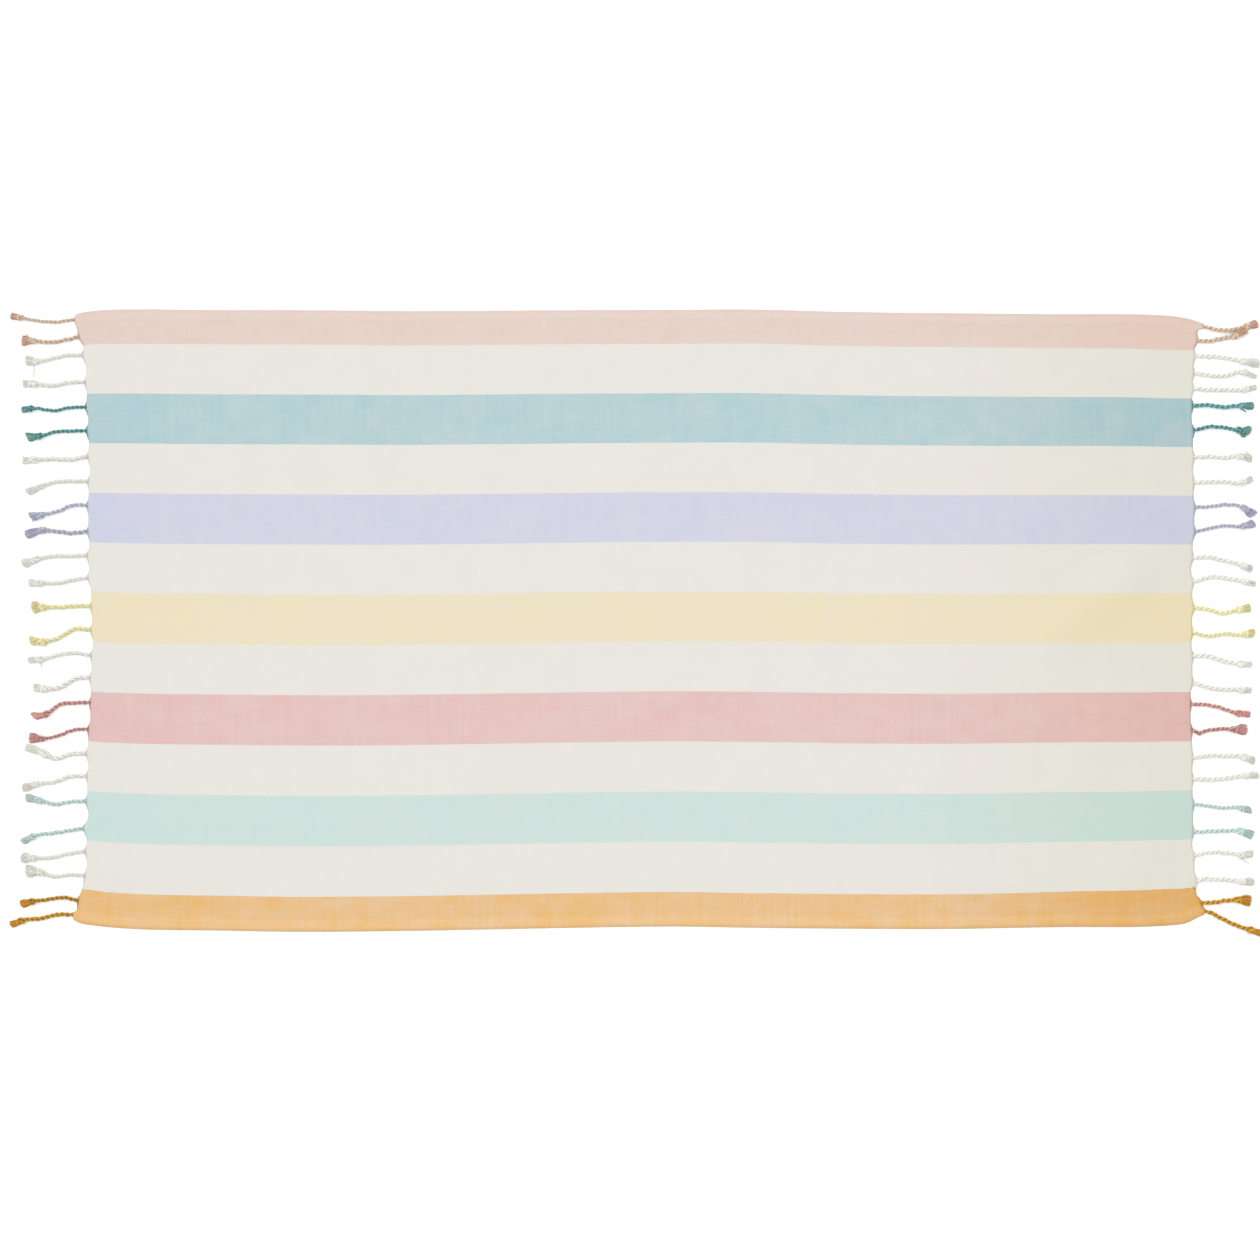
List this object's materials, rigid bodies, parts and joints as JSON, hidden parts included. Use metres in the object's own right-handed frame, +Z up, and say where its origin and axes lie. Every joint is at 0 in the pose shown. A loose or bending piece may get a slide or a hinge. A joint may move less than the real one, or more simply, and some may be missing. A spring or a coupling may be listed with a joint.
{
  "type": "hammam towel",
  "caption": "Large flat-woven cotton hammam towel with pastel lengthwise stripes, hemmed long edges and a knotted twisted fringe at each end, laid out flat.",
  "frame": {"origin": "the middle of the laid-out towel with its fringes, on the surface that it lies on", "axes": "+X along the length and the stripes, towards the picture's right; +Y across, towards the picture's top; +Z up"},
  "size_m": [2.0358, 1.0206, 0.008],
  "materials": {
    "cloth": "matt flat-woven cotton in soft pastel warp stripes with natural white between them",
    "fringe": "twisted cotton warp yarn, each tassel in the full colour of the stripe that it grows from"
  },
  "bodies": {
    "root": {"cloth": "cloth", "fringe_left": "fringe", "fringe_right": "fringe"}
  },
  "joints": []
}
